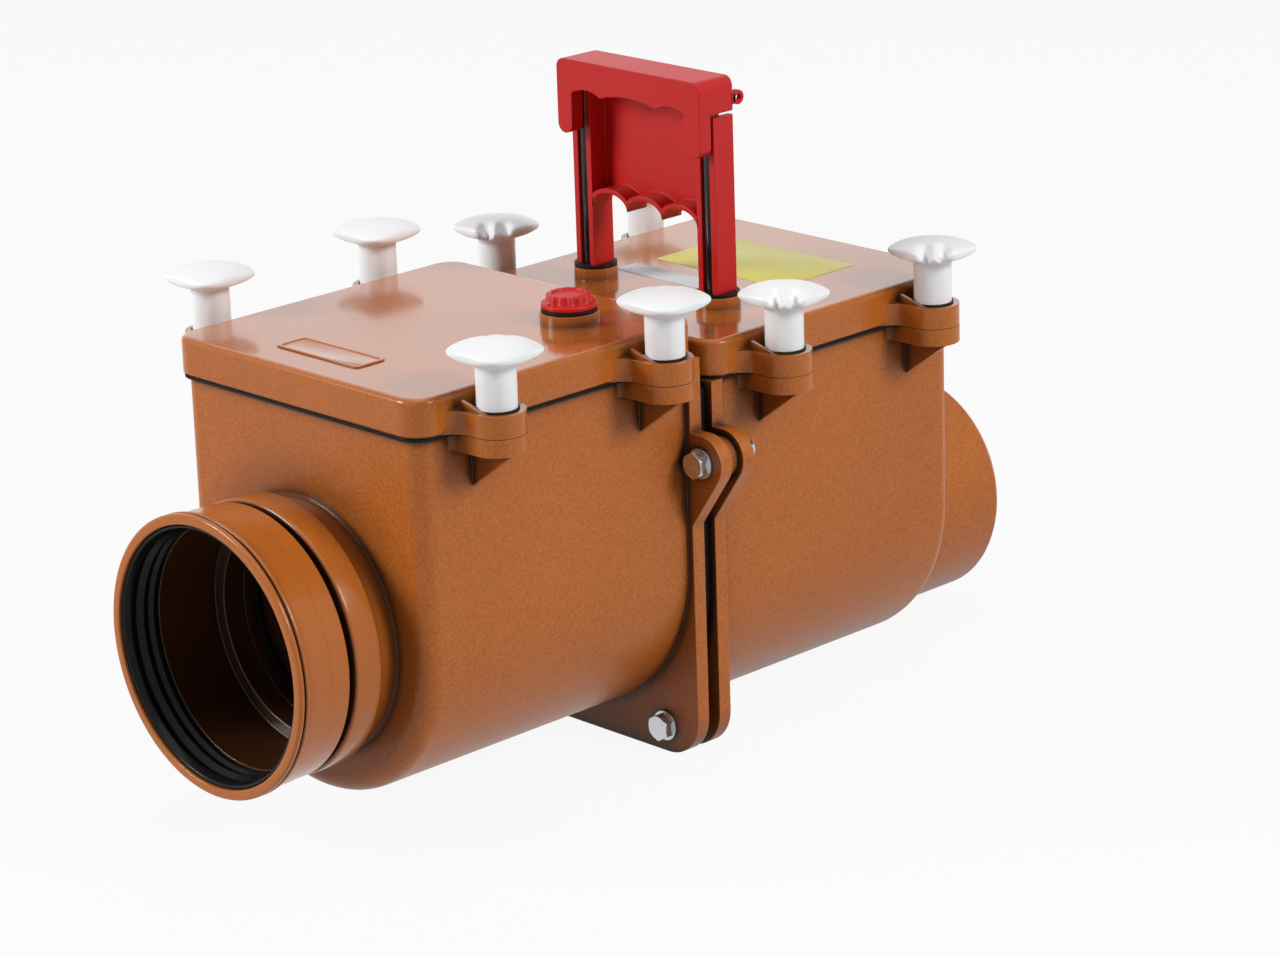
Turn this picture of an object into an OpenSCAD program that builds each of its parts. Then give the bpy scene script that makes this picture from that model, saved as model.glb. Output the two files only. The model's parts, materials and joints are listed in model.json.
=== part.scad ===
// Two-chamber backwater valve for a buried or exposed drain.
// Sewage enters the socket at x = 0, passes two hanging flaps and leaves by the spigot.
// Millimetres. The origin is the centre of the socket's mouth, +X is the direction of flow, +Z is up.

/* [Pipe] */
// Outside diameter of the drain pipe
pipe_d = 125; // [115:1:130]
// Radial room between the pipe and the socket
pipe_room = 0.4; // [0.2:0.1:0.6]
// Wall of the socket and of the spigot
pipe_wall = 4; // [3:0.5:5]
// Depth of the socket, from its mouth to the pipe stop
socket_depth = 58; // [52:1:61]
// Distance from the socket's mouth to the lid of the inlet chamber
socket_reach = 63.5; // [60:0.5:80]
// Distance from the lid of the outlet chamber to the end of the spigot
spigot_reach = 66.5; // [50:0.5:90]
// Height that the waterway drops in the inlet chamber
inlet_fall = 18; // [14:1:20]
// Step from the spigot's underside down to the floor of the outlet chamber
outlet_sill = 0.5; // [0:0.1:2]

/* [Chambers] */
// Wall of a chamber
wall = 4; // [3:0.5:5]
// Height of the inlet lid's top above the socket's axis
lid_top = 133; // [128:1:140]
// Step down from the inlet chamber to the outlet chamber
chamber_step = 15; // [12:1:18]

/* [Lids] */
// Length of each lid along the flow
lid_l = 190; // [184:1:200]
// Width of each lid
lid_w = 185; // [184:1:190]
// How far a lid stands out over the wall of its chamber
overhang = 3.5; // [3:0.1:4.5]
// Height of a lid, from the edge of its skirt to its top
lid_h = 20; // [18:0.5:24]
// Thickness of a lid's top plate
lid_plate = 5; // [4:0.5:6]
// Radius of a lid's upright corners
lid_corner = 13; // [10:0.5:16]
// Rounding of a lid's top edge
lid_edge = 3; // [2:0.5:4]
// Room between a lid's skirt and the chamber's rim
lid_room = 0.4; // [0.3:0.1:0.8]
// Thickness of the seal under a lid
lid_seal_t = 3; // [2:0.5:4]

/* [Clamps] */
// Spacing of the clamps along a lid
clamp_pitch = 113; // [104:1:120]
// Distance of the clamps' axes from the side of the lid
clamp_out = 15; // [13.5:0.5:18]
// Diameter of a clamp's stem
stem_d = 20; // [17:0.5:21]
// Height of the stem that shows between ear and head
stem_show = 20.5; // [17:0.5:26]
// Height over which the head flares out from the stem
head_flare = 7.5; // [6:0.5:10]
// Width of a clamp's square head
head_w = 39; // [34:1:42]
// Thickness of a clamp's head at its corners
head_edge = 1.6; // [1.2:0.2:3]
// Rise of the crown over the head's corners
head_crown = 4; // [2.5:0.5:6]
// Corner radius of a clamp's head
head_round = 10; // [7:0.5:12]
// Radius of the round nose of a lid's ear and of the boss below it
ear_r = 14; // [13:0.5:15]
// Height of a lid's ear
ear_h = 11.5; // [9:0.5:13]
// Height of the boss under an ear
boss_h = 9; // [8:0.5:12]
// Radius of the pin at the foot of a clamp
bayonet_r = 6; // [5:0.5:6.5]
// Reach of the two bayonet lugs from the clamp's axis
lug_reach = 9.5; // [8.5:0.5:9.5]
// Running room of the clamps
clamp_room = 0.3; // [0.2:0.05:0.4]

/* [Flange joint] */
// Thickness of each flange
flange_t = 8; // [7:0.5:10]
// Thickness of the seal between the flanges
flange_gap = 8; // [6:0.5:10]
// Radius of the flange's lower corners
flange_corner = 22; // [18:1:26]
// Distance of the lower bolts inside the chamber's side
bolt_low_in = 20; // [18:0.5:22]
// Height of the lower bolts above the foot of the flange
bolt_low_h = 14.5; // [12:0.5:16]
// Distance of the upper bolts outside the chamber's side
bolt_high_out = 11; // [10:0.5:14]
// Height of the upper bolts above the socket's axis
bolt_high_z = 60; // [50:1:64]
// Thread diameter of the bolts
bolt_d = 8; // [6:1:8]

/* [Flaps] */
// Radius of the waterway through the seats
way_r = 56; // [50:1:57]
// Radius of a flap
flap_r = 66; // [63:0.5:67]
// Thickness of a flap's plate
flap_t = 5; // [4:0.5:6]
// Thickness of a seat frame
seat_t = 6; // [5:0.5:8]
// Thickness of a flap's rubber seal
flap_seal_t = 3.5; // [3:0.5:5]
// Height of a flap's hinge above the waterway's axis
hinge_up = 73; // [72:0.5:75]
// Diameter of a hinge pin
hinge_pin_d = 6; // [5:0.5:7]
// Opening that lets a flap turn on its pin
hinge_room = 0.08; // [0.04:0.01:0.1]

/* [Locking handle] */
// Distance of the handle's legs from the flange side of the outlet lid
handle_x = 53.5; // [48:0.5:60]
// Width over the handle's two legs
handle_w = 105; // [100:1:110]
// Width of a leg
leg_w = 13.5; // [12:0.5:14]
// Depth of a leg along the flow
leg_t = 14.5; // [13:0.5:15]
// Width of the slot in a leg
leg_slot = 6.5; // [5:0.5:7]
// Height of the handle's top above the outlet lid
handle_up = 121.5; // [115:0.5:130]
// Height of the grip bar
grip_h = 18; // [16:0.5:22]
// How far the grip bar stands out in front of the legs
grip_front = 10; // [8:0.5:12]
// Depth of the finger panel's lowest points below the handle's top
panel_drop = 76; // [70:1:80]
// Travel of the handle from open to locked
handle_travel = 34; // [30:1:35]
// Radius of the collars round the legs
collar_r = 11.8; // [11.2:0.1:13]
// Height of the collars
collar_h = 6.5; // [5:0.5:9]

/* [Test opening] */
// Place of the test opening from the flange end of the inlet lid
test_x = 45; // [38:1:60]
// Sideways place of the test opening
test_y = 46; // [40:1:60]
// Radius of the test opening's collar
test_collar_r = 15; // [13:0.5:17]
// Height of the test opening's collar
test_collar_h = 6; // [4:0.5:8]
// Bore radius of the test opening
test_bore_r = 9; // [8:0.5:10]
// Height of the cap's fluted grip
test_grip_h = 8.5; // [6:0.5:12]

/* [Hidden] */
$fn = 48;
cut = 1;

// Widths
chamber_r = lid_w / 2 - overhang;
clamp_y = lid_w / 2 + clamp_out;
bolt_low_y = chamber_r - bolt_low_in;
bolt_high_y = chamber_r + bolt_high_out;

// Lengthwise places
inlet_x0 = socket_reach;
inlet_x1 = inlet_x0 + lid_l;
outlet_x0 = inlet_x1 + flange_gap;
outlet_x1 = outlet_x0 + lid_l;
mid_x = (inlet_x1 + outlet_x0) / 2;
spigot_x = outlet_x1 + spigot_reach;
skirt = overhang - lid_room;
end_round = lid_corner - overhang;

// Heights
pipe_r = pipe_d / 2;
mid_z = -inlet_fall;
rim_drop = lid_plate + lid_seal_t + clamp_room;
foot_z = -chamber_step - chamber_r;
outlet_z = foot_z + wall + outlet_sill + pipe_r;
bolt_low_z = foot_z + bolt_low_h;
outlet_top = lid_top - chamber_step;

// Flap parts, measured along the flow from the wall that carries the seat
flap_seal_x = seat_t + clamp_room;
flap_x = flap_seal_x + flap_seal_t;
hinge_x = flap_x + flap_t / 2;
knuckle_r = hinge_pin_d / 2 + 4;
lug_t = 6;
lug_y = 24;
arm_y = lug_y - lug_t - clamp_room;

// Socket sections
socket_r = pipe_r + pipe_room;
spigot_nose_r = pipe_r - 1;
socket_seal_x = [1.5, 22];
socket_seal_depth = 3.2;
lip_l = 7;
groove_x = [33, 38];
sleeve_r = socket_r + 2 * pipe_wall;
lip_r = sleeve_r + 1.6;
nose_r = socket_r + pipe_wall;

// Fasteners
hex_d = 1.85 * bolt_d;
bolt_head_h = 0.66 * bolt_d;
washer_r = bolt_d;
washer_t = 1.6;
nut_h = 0.8 * bolt_d;
nut_end = 3;
bolt_hole_r = bolt_d / 2 + 0.5;
spacer_r = 10.5;
bolt_places = [for (s = [-1, 1]) each [[s * bolt_low_y, bolt_low_z], [s * bolt_high_y, bolt_high_z]]];

// Handle heights
handle_top = outlet_top + handle_up;
leg_y = (handle_w - leg_w) / 2;
leg_x = outlet_x0 + handle_x;
leg_below = handle_travel + 11;
leg_end = outlet_top - lid_plate - leg_below;
leg_room = 0.35;
shoe_h = 14;
wiper_t = 1.8;

orange = [0.80, 0.36, 0.13];
red = [0.72, 0.10, 0.08];
white = [0.90, 0.91, 0.92];
black = [0.08, 0.08, 0.08];
zinc = [0.74, 0.75, 0.77];

// Lays a flat outline, drawn as across and up, upright at x and thickens it along the flow
module upright(x, t) {
  translate([x, 0, 0]) rotate([90, 0, 90]) linear_extrude(t) children();
}

// Turns a shape's own axis to the direction of flow
module along_flow(x, z) {
  translate([x, 0, z]) rotate([0, 90, 0]) children();
}

// Turns a shape's own axis across the flow
module across(x, y, z) {
  translate([x, y, z]) rotate([-90, 0, 0]) children();
}

// Rectangle with round corners, r0 at its low end and r1 at its high end along x
module round_plan(x0, x1, half, r0, r1) {
  translate([x0 + r0, -half]) square([x1 - x0 - r0 - r1, 2 * half]);
  for (e = [[x0, 1, r0], [x1, -1, r1]])
    if (e[2] > 0) {
      translate([e[1] > 0 ? e[0] : e[0] - e[2], -half + e[2]]) square([e[2], 2 * (half - e[2])]);
      for (s = [-1, 1]) translate([e[0] + e[1] * e[2], s * (half - e[2])]) circle(e[2]);
    }
}

// Half outline of a round floor: radius r, length l, its outer end rounded by c
module floor_profile(r, l, c) {
  square([r - c, l]);
  translate([0, c]) square([r, l - c]);
  translate([r - c, c]) circle(c);
}

// Solid tub with upright sides and a half-round floor, from x0 to x1
module tub(x0, x1, r, floor_z, top_z, c) {
  translate([0, 0, floor_z]) linear_extrude(top_z - floor_z) round_plan(x0, x1, r, c, 0);
  along_flow(x0, floor_z) rotate([0, 0, -90]) rotate_extrude(angle = 180) floor_profile(r, x1 - x0, c);
}

// Slab with round upright corners and a rounded top edge
module soft_slab(l, w, h, corner, edge) {
  linear_extrude(h - edge) round_plan(-l / 2, l / 2, w / 2, corner, corner);
  linear_extrude(h) round_plan(edge - l / 2, l / 2 - edge, w / 2 - edge, corner - edge, corner - edge);
  for (s = [-1, 1]) {
    translate([corner - l / 2, s * (w / 2 - edge), h - edge]) rotate([0, 90, 0])
      cylinder(h = l - 2 * corner, r = edge);
    translate([s * (l / 2 - edge), corner - w / 2, h - edge]) rotate([-90, 0, 0])
      cylinder(h = w - 2 * corner, r = edge);
  }
  for (q = [[1, 1, 0], [-1, 1, 90], [-1, -1, 180], [1, -1, 270]])
    translate([q[0] * (l / 2 - corner), q[1] * (w / 2 - corner), h - edge]) rotate([0, 0, q[2]])
      rotate_extrude(angle = 90) translate([corner - edge, 0]) circle(edge);
}

// Places children at the four clamps of a lid whose middle is at x
module at_clamps(x) {
  for (i = [-1, 1], s = [-1, 1])
    translate([x + i * clamp_pitch / 2, s * clamp_y, 0]) rotate([0, 0, s > 0 ? 0 : 180]) children();
}

// Plan of an ear: round nose at the origin, neck back to the wall, hollow fillets where they meet
module ear_plan(back, fillet) {
  circle(ear_r);
  translate([-ear_r, -back]) square([2 * ear_r, back]);
  difference() {
    translate([-ear_r - fillet, -back]) square([2 * (ear_r + fillet), fillet]);
    for (s = [-1, 1]) translate([s * (ear_r + fillet), fillet - back]) circle(fillet);
  }
}

// Boss with the bayonet socket that a clamp's foot turns in, its top face at z = 0, and the gusset under it
module clamp_boss() {
  back = clamp_y - chamber_r + wall / 2;
  lip = 2.8;
  floor_t = 2.2;
  difference() {
    translate([0, 0, -boss_h]) linear_extrude(boss_h) ear_plan(back, 7);
    translate([0, 0, floor_t - boss_h]) cylinder(h = boss_h, r = bayonet_r + 2 * clamp_room);
    translate([0, 0, floor_t - boss_h]) cylinder(h = boss_h - floor_t - lip, r = lug_reach + 3 * clamp_room);
    translate([-lug_reach - 2 * clamp_room, -bayonet_r / 2 - clamp_room, floor_t - boss_h])
      cube([2 * (lug_reach + 2 * clamp_room), bayonet_r + 2 * clamp_room, boss_h]);
  }
  gusset_t = 2.6;
  gusset_drop = 23;
  gusset_nose = 12;
  translate([gusset_t / 2, 0, -boss_h]) rotate([90, 0, -90])
    linear_extrude(gusset_t) polygon([[-gusset_nose, 0.5], [back, 0.5], [back, -gusset_drop]]);
}

// Point where the line from p touches a circle on its outer side
function touch(c, r, p) =
  let (d = p - c, a = atan2(d[1], d[0]) + acos(r / norm(d))) c + r * [cos(a), sin(a)];

// Outline of a flange: feet outside the round floor, bolt ears at its sides
module flange_outline(top_z) {
  nose = 14;
  root = chamber_r - wall;
  ear_l = 46;
  ear_foot = bolt_high_z - ear_l;
  half = lid_w / 2;
  difference() {
    union() {
      translate([-half, foot_z + flange_corner]) square([2 * half, top_z - foot_z - flange_corner]);
      translate([-half + flange_corner, foot_z]) square([2 * (half - flange_corner), flange_corner]);
      for (s = [-1, 1]) translate([s * (half - flange_corner), foot_z + flange_corner]) circle(flange_corner);
      for (s = [0, 1]) mirror([s, 0]) {
        c = [bolt_high_y, bolt_high_z];
        translate(c) circle(nose);
        foot = [root, ear_foot];
        polygon([[root, bolt_high_z + nose], c + [0, nose], c, touch(c, nose, foot), foot]);
      }
    }
    for (b = bolt_places) translate(b) circle(bolt_hole_r);
  }
}

// Chamber drawn with its flange towards +x: walls, floor, flange and clamp bosses
module chamber(x_end, x_face, floor_z, top_z) {
  rim = top_z - rim_drop;
  skirt_z = top_z - lid_h - clamp_room;
  x_rim = x_face - overhang;
  difference() {
    union() {
      tub(x_end, x_rim, chamber_r, floor_z, skirt_z, end_round);
      translate([0, 0, skirt_z - cut]) linear_extrude(rim - skirt_z + cut)
        round_plan(x_end, x_rim, chamber_r, end_round, end_round);
      upright(x_face - flange_t, flange_t) flange_outline(skirt_z);
      translate([0, 0, skirt_z]) at_clamps((x_end - overhang + x_face) / 2) clamp_boss();
    }
    tub(x_end + wall, x_face - flange_t, chamber_r - wall, floor_z, rim + cut, end_round - wall);
  }
}

module inlet_chamber() {
  color(orange) difference() {
    union() {
      chamber(inlet_x0 + overhang, inlet_x1, 0, lid_top);
      for (b = bolt_places) translate([0, b[0], 0]) along_flow(inlet_x1, b[1]) difference() {
        cylinder(h = flange_gap, r = spacer_r);
        translate([0, 0, -cut]) cylinder(h = flange_gap + 2 * cut, r = bolt_hole_r);
      }
    }
    along_flow(inlet_x0, 0) cylinder(h = overhang + wall + cut, r = nose_r);
    along_flow(inlet_x1 - flange_t - cut, mid_z) cylinder(h = flange_t + 2 * cut, r = way_r);
  }
}

module outlet_chamber() {
  color(orange) difference() {
    translate([2 * mid_x, 0, 0]) mirror([1, 0, 0])
      chamber(2 * mid_x - outlet_x1 + overhang, inlet_x1, -chamber_step, outlet_top);
    along_flow(outlet_x1 - overhang - wall - cut, outlet_z) cylinder(h = wall + 2 * cut, r = spigot_nose_r);
    along_flow(outlet_x0 - cut, mid_z) cylinder(h = flange_t + 2 * cut, r = way_r);
  }
}

// Plain pipe end set into the end wall of the outlet chamber, its tip chamfered
module outlet_spigot() {
  chamfer = 3;
  tip = pipe_r - 2;
  length = spigot_reach + overhang;
  color(orange) along_flow(outlet_x1 - overhang, outlet_z) difference() {
    union() {
      translate([0, 0, -wall]) cylinder(h = wall + cut, r = spigot_nose_r);
      cylinder(h = length - chamfer, r = pipe_r);
      translate([0, 0, length - chamfer]) cylinder(h = chamfer, r1 = pipe_r, r2 = tip);
    }
    translate([0, 0, -wall - cut]) cylinder(h = length + wall + 2 * cut, r = pipe_r - pipe_wall);
  }
}

module inlet_socket() {
  end = inlet_x0 + overhang;
  bead = 1.8;
  neck = [groove_x[1], end - 2.5];
  neck_round = 2.2;
  color(orange) along_flow(0, 0) rotate_extrude() difference() {
    union() {
      square([lip_r - bead, lip_l]);
      for (h = [bead, lip_l - bead]) translate([lip_r - bead, h]) circle(bead);
      translate([0, lip_l - cut]) square([sleeve_r, groove_x[0] - lip_l + cut]);
      translate([0, groove_x[0] - cut]) square([nose_r + 1, end - groove_x[0] + cut]);
      translate([0, neck[0]]) square([sleeve_r - neck_round, neck[1] - neck[0]]);
      translate([0, neck[0] + neck_round]) square([sleeve_r, neck[1] - neck[0] - 2 * neck_round]);
      for (h = [neck[0] + neck_round, neck[1] - neck_round]) translate([sleeve_r - neck_round, h])
        circle(neck_round);
      translate([0, end - cut]) square([nose_r, wall + cut]);
    }
    translate([0, -cut]) square([socket_r, socket_depth + cut]);
    translate([0, -cut]) square([way_r, end + wall + 2 * cut]);
    translate([0, socket_seal_x[0]])
      square([socket_r + socket_seal_depth, socket_seal_x[1] - socket_seal_x[0]]);
  }
}

module socket_seal() {
  flush = 0.1;
  lips = 4;
  pitch = (socket_seal_x[1] - socket_seal_x[0]) / lips;
  color(black) along_flow(0, 0) rotate_extrude() difference() {
    translate([socket_r + flush, socket_seal_x[0]])
      square([socket_seal_depth - flush, socket_seal_x[1] - socket_seal_x[0]]);
    for (i = [1 : lips - 1]) translate([socket_r + flush, socket_seal_x[0] + i * pitch]) circle(1.2);
  }
}

module chamber_gasket() {
  r = chamber_r - 1;
  color(black) upright(inlet_x1, flange_gap) difference() {
    union() {
      translate([0, -chamber_step]) circle(r);
      translate([-r, -chamber_step]) square([2 * r, outlet_top - lid_h - 4 + chamber_step]);
    }
    translate([0, mid_z]) circle(way_r);
  }
}

// Places children on each flange bolt's axis, at the face of the inlet flange's back
module at_bolts() {
  for (b = bolt_places) translate([0, b[0], 0]) along_flow(inlet_x1 - flange_t, b[1]) children();
}

grip_l = 2 * flange_t + flange_gap;

// Hexagon of height h with its corners turned off to a cone at the low end
module hex_block(h) {
  turned = 0.86 * hex_d / 2;
  intersection() {
    cylinder(h = h, d = hex_d, $fn = 6);
    cylinder(h = h, r1 = turned, r2 = turned + 1.8 * h);
  }
}

module flange_bolts() {
  color(zinc) at_bolts() {
    translate([0, 0, -washer_t - bolt_head_h]) hex_block(bolt_head_h);
    translate([0, 0, -washer_t - cut])
      cylinder(h = grip_l + 2 * washer_t + nut_h + nut_end + cut, d = bolt_d);
  }
}

module flange_washers() {
  color(zinc) at_bolts() for (h = [-washer_t, grip_l]) translate([0, 0, h]) difference() {
    cylinder(h = washer_t, r = washer_r);
    translate([0, 0, -cut]) cylinder(h = washer_t + 2 * cut, r = bolt_d / 2 + 0.3);
  }
}

module flange_nuts() {
  color(zinc) at_bolts() translate([0, 0, grip_l + washer_t]) difference() {
    translate([0, 0, nut_h]) mirror([0, 0, 1]) hex_block(nut_h);
    translate([0, 0, -cut]) cylinder(h = nut_h + 2 * cut, d = bolt_d);
  }
}

// Room for a stem in an ear, grown by room and open back towards the lid's side
module stem_slot(room) {
  r = stem_d / 2 + room;
  circle(r);
  translate([-r, lid_w / 2 - clamp_y]) square([2 * r, clamp_y - lid_w / 2]);
}

// Thin rim round a stem, high at the lid's side and cut down in a slope to the nose of the ear
module ear_sleeve() {
  rim_t = 1.8;
  out_r = stem_d / 2 + clamp_room + rim_t;
  high = lid_h - ear_h - lid_edge - 1;
  slope_end = 0.4 * out_r;
  intersection() {
    translate([0, 0, -cut]) linear_extrude(high + cut) stem_slot(clamp_room + rim_t);
    upright(-out_r, 2 * out_r) polygon([[-out_r, -cut], [-out_r, high], [slope_end, 0], [slope_end, -cut]]);
  }
}

// Lid from x0, its top at z: domed skirted slab with four ears
module lid(x0, z) {
  x = x0 + lid_l / 2;
  hollow = [lid_l - 2 * skirt, lid_w / 2 - skirt, lid_corner - skirt];
  ear_floor = 3;
  line_h = 1.4;
  line_in = skirt / 2;
  line_r = lid_corner - line_in;
  difference() {
    union() {
      translate([x, 0, z - lid_h + line_h]) soft_slab(lid_l, lid_w, lid_h - line_h, lid_corner, lid_edge);
      translate([x, 0, z - lid_h]) linear_extrude(lid_h - lid_plate)
        round_plan(line_in - lid_l / 2, lid_l / 2 - line_in, lid_w / 2 - line_in, line_r, line_r);
      translate([0, 0, z - lid_h]) at_clamps(x) {
        linear_extrude(ear_h) ear_plan(clamp_y - lid_w / 2 + skirt / 2, 11);
        translate([0, 0, ear_h]) ear_sleeve();
      }
    }
    translate([x, 0, z - lid_h - cut]) linear_extrude(lid_h - lid_plate + cut)
      round_plan(-hollow[0] / 2, hollow[0] / 2, hollow[1], hollow[2], hollow[2]);
    translate([0, 0, z - lid_h - cut]) at_clamps(x) cylinder(h = lid_h, d = stem_d + 2 * clamp_room);
    translate([0, 0, z - lid_h + ear_floor]) at_clamps(x) linear_extrude(lid_h) stem_slot(clamp_room);
  }
}

// Seal frame pressed up under a lid's plate, over the chamber's rim
module lid_gasket(x0, z) {
  x = x0 + lid_l / 2;
  out = [lid_l / 2 - skirt, lid_w / 2 - skirt, lid_corner - skirt];
  band = lid_room + wall + 3;
  color(black) translate([x, 0, z - lid_plate - lid_seal_t]) linear_extrude(lid_seal_t) difference() {
    round_plan(-out[0], out[0], out[1], out[2], out[2]);
    round_plan(band - out[0], out[0] - band, out[1] - band, out[2] / 2, out[2] / 2);
  }
}

test_at = [inlet_x1 - test_x, -test_y, lid_top];

module inlet_lid() {
  color(orange) difference() {
    union() {
      lid(inlet_x0, lid_top);
      translate(test_at - [0, 0, cut]) cylinder(h = test_collar_h + cut, r = test_collar_r);
    }
    translate(test_at - [0, 0, lid_plate + cut])
      cylinder(h = lid_plate + test_collar_h + 2 * cut, r = test_bore_r);
  }
}

module inlet_lid_gasket() {
  lid_gasket(inlet_x0, lid_top);
}

// Places children at the handle's two legs, at height z
module at_legs(z) {
  for (s = [-1, 1]) translate([leg_x, s * leg_y, z]) children();
}

// Leg's section, grown by room on every side
module leg_plan(room) {
  square([leg_t + 2 * room, leg_w + 2 * room], center = true);
}

module outlet_lid() {
  color(orange) difference() {
    union() {
      lid(outlet_x0, outlet_top);
      at_legs(outlet_top - cut) cylinder(h = collar_h + cut, r = collar_r);
    }
    at_legs(outlet_top - lid_plate - cut) linear_extrude(lid_plate + collar_h + 2 * cut) leg_plan(leg_room);
  }
}

module outlet_lid_gasket() {
  lid_gasket(outlet_x0, outlet_top);
}

// Head of a clamp: cone below, dome above, trimmed to a square with round corners
module clamp_head(scoop) {
  corner_r = sqrt(2) * (head_w / 2 - head_round) + head_round;
  crown_r = (pow(corner_r, 2) + pow(head_crown, 2)) / (2 * head_crown);
  edge_z = stem_show + head_flare;
  web = 6.4;
  pocket = [3.8, head_w, head_flare + head_edge + head_crown];
  pocket_in = 4;
  difference() {
    intersection() {
      union() {
        translate([0, 0, stem_show]) cylinder(h = head_flare, r1 = stem_d / 2, r2 = corner_r);
        intersection() {
          translate([0, 0, edge_z - cut / 4]) cylinder(h = head_edge + head_crown + cut, r = corner_r);
          translate([0, 0, edge_z + head_edge + head_crown - crown_r]) sphere(crown_r, $fn = 96);
        }
      }
      translate([0, 0, stem_show]) linear_extrude(head_flare + head_edge + head_crown)
        round_plan(-head_w / 2, head_w / 2, head_w / 2, head_round, head_round);
    }
    for (x = [web / 2, -web / 2 - pocket[0]])
      rotate([0, 0, scoop]) translate([x, pocket_in, stem_show + cut]) cube(pocket);
  }
}

// Clamp on its own axis, z = 0 at the top of the lid's ear; scoop turns its two finger scoops
module clamp(scoop) {
  lug_h = 2.8;
  foot_z = -ear_h - boss_h + 2.2 + clamp_room;
  color(white) {
    translate([0, 0, -ear_h]) cylinder(h = ear_h + stem_show + cut / 2, d = stem_d);
    translate([0, 0, foot_z]) cylinder(h = -ear_h - foot_z + cut, r = bayonet_r);
    translate([-lug_reach, -bayonet_r / 2, foot_z]) cube([2 * lug_reach, bayonet_r, lug_h]);
    clamp_head(scoop);
  }
}

// Clamp number i of the lid that starts at x0 and whose top is at z
module clamp_of(i, x0, z, scoop) {
  along = i < 2 ? -1 : 1;
  side = i % 2 == 0 ? -1 : 1;
  x = x0 + (lid_l + along * clamp_pitch) / 2;
  translate([x, side * clamp_y, z - lid_h + ear_h]) clamp(scoop);
}

module test_cap_seal() {
  color(black) translate(test_at + [0, 0, test_collar_h + 0.2]) difference() {
    cylinder(h = 1.6, r = test_collar_r - 0.8);
    translate([0, 0, -cut]) cylinder(h = 2 * cut + 1.6, r = test_bore_r - 0.6);
  }
}

module test_cap() {
  base = test_collar_h + 2;
  flange_h = 2.4;
  grip_r = test_collar_r - 3.2;
  flutes = 14;
  color(red) translate(test_at + [0, 0, base]) {
    cylinder(h = flange_h, r = test_collar_r - 0.8);
    translate([0, 0, flange_h / 2]) linear_extrude(flange_h / 2 + test_grip_h) difference() {
      circle(grip_r);
      for (i = [0 : flutes - 1]) rotate(i * 360 / flutes) translate([grip_r + 0.6, 0]) circle(1.5);
    }
    translate([0, 0, -base - lid_plate]) cylinder(h = base + lid_plate + cut, r = test_bore_r - 1);
  }
}

// Handle's front outline, across and up: grip bar with round shoulders
module grip_outline() {
  shoulder = 5;
  half = handle_w / 2;
  translate([-half, handle_top - grip_h]) square([handle_w, grip_h - shoulder]);
  translate([-half + shoulder, handle_top - shoulder]) square([handle_w - 2 * shoulder, shoulder]);
  for (s = [-1, 1]) translate([s * (half - shoulder), handle_top - shoulder]) circle(shoulder);
}

// Shallow arch in the lower edge of the grip bar, from y0 to y1
module grip_arch(y0, y1) {
  rise = 3;
  r = (pow((y1 - y0) / 2, 2) + rise * rise) / (2 * rise);
  translate([(y0 + y1) / 2, handle_top - grip_h + rise - r]) circle(r, $fn = 96);
}

finger_w = (handle_w - 2 * leg_w) / 3;

// Finger panel between the legs, its lower edge scalloped for three fingers
module panel_outline(band) {
  inner = handle_w / 2 - leg_w;
  low = handle_top - panel_drop;
  difference() {
    intersection() {
      translate([-inner - 1, low]) square([2 * inner + 2, panel_drop - grip_h + 1]);
      if (band > 0) for (i = [-1 : 1]) translate([i * finger_w, low]) circle(finger_w / 2 + band);
    }
    for (i = [-1 : 1]) translate([i * finger_w, low]) circle(finger_w / 2);
  }
}

// Eye for a lead seal, a flat ring on the back of the grip bar
module seal_eye() {
  eye_r = 3.8;
  eye_t = 3;
  reach = 4.5;
  across(leg_x + leg_t / 2 + reach, -handle_w / 2, handle_top - 12) linear_extrude(eye_t) difference() {
    union() {
      circle(eye_r);
      translate([-reach - cut, -0.8 * eye_r]) square([reach + cut, 1.6 * eye_r]);
    }
    circle(eye_r / 2);
  }
}

module lock_handle() {
  panel_t = 3.5;
  rim_t = 3;
  tab_w = 10.5;
  tab_l = 40;
  tab_y = (handle_w - tab_w) / 2;
  cusp_y = 20.5;
  slit = 2;
  slot_low = outlet_top - lid_plate;
  slot_high = handle_top - grip_h;
  back_x = leg_x - leg_t / 2;
  tab_in = handle_w / 2 - tab_w;
  color(red) {
    upright(back_x - grip_front, grip_front) difference() {
      grip_outline();
      for (y = [[-tab_in, -cusp_y], [-cusp_y, cusp_y], [cusp_y, tab_in]]) grip_arch(y[0], y[1]);
    }
    upright(back_x - cut, leg_t + cut) grip_outline();
    upright(leg_x + leg_t / 2 - panel_t, panel_t) panel_outline(0);
    upright(back_x, leg_t) panel_outline(rim_t);
    for (s = [-1, 1]) upright(back_x - grip_front, grip_front - slit) {
      translate([s * tab_y - tab_w / 2, handle_top - tab_l + tab_w / 2]) square([tab_w, tab_l - grip_h]);
      translate([s * tab_y, handle_top - tab_l + tab_w / 2]) circle(tab_w / 2);
    }
    seal_eye();
    difference() {
      at_legs(leg_end) linear_extrude(handle_top - leg_end - grip_h + cut) leg_plan(0);
      at_legs(slot_low) translate([-leg_t, -leg_slot / 2, 0])
        cube([2 * leg_t, leg_slot, slot_high - slot_low]);
      for (s = [-1, 1]) translate([leg_x - leg_t, s > 0 ? leg_y : -leg_y - leg_w, slot_high - slit])
        cube([2 * leg_t, leg_w, slit]);
    }
  }
}

module handle_wipers() {
  color(black) at_legs(outlet_top + collar_h) linear_extrude(wiper_t) difference() {
    circle(collar_r - 0.3);
    leg_plan(leg_room);
  }
}

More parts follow.
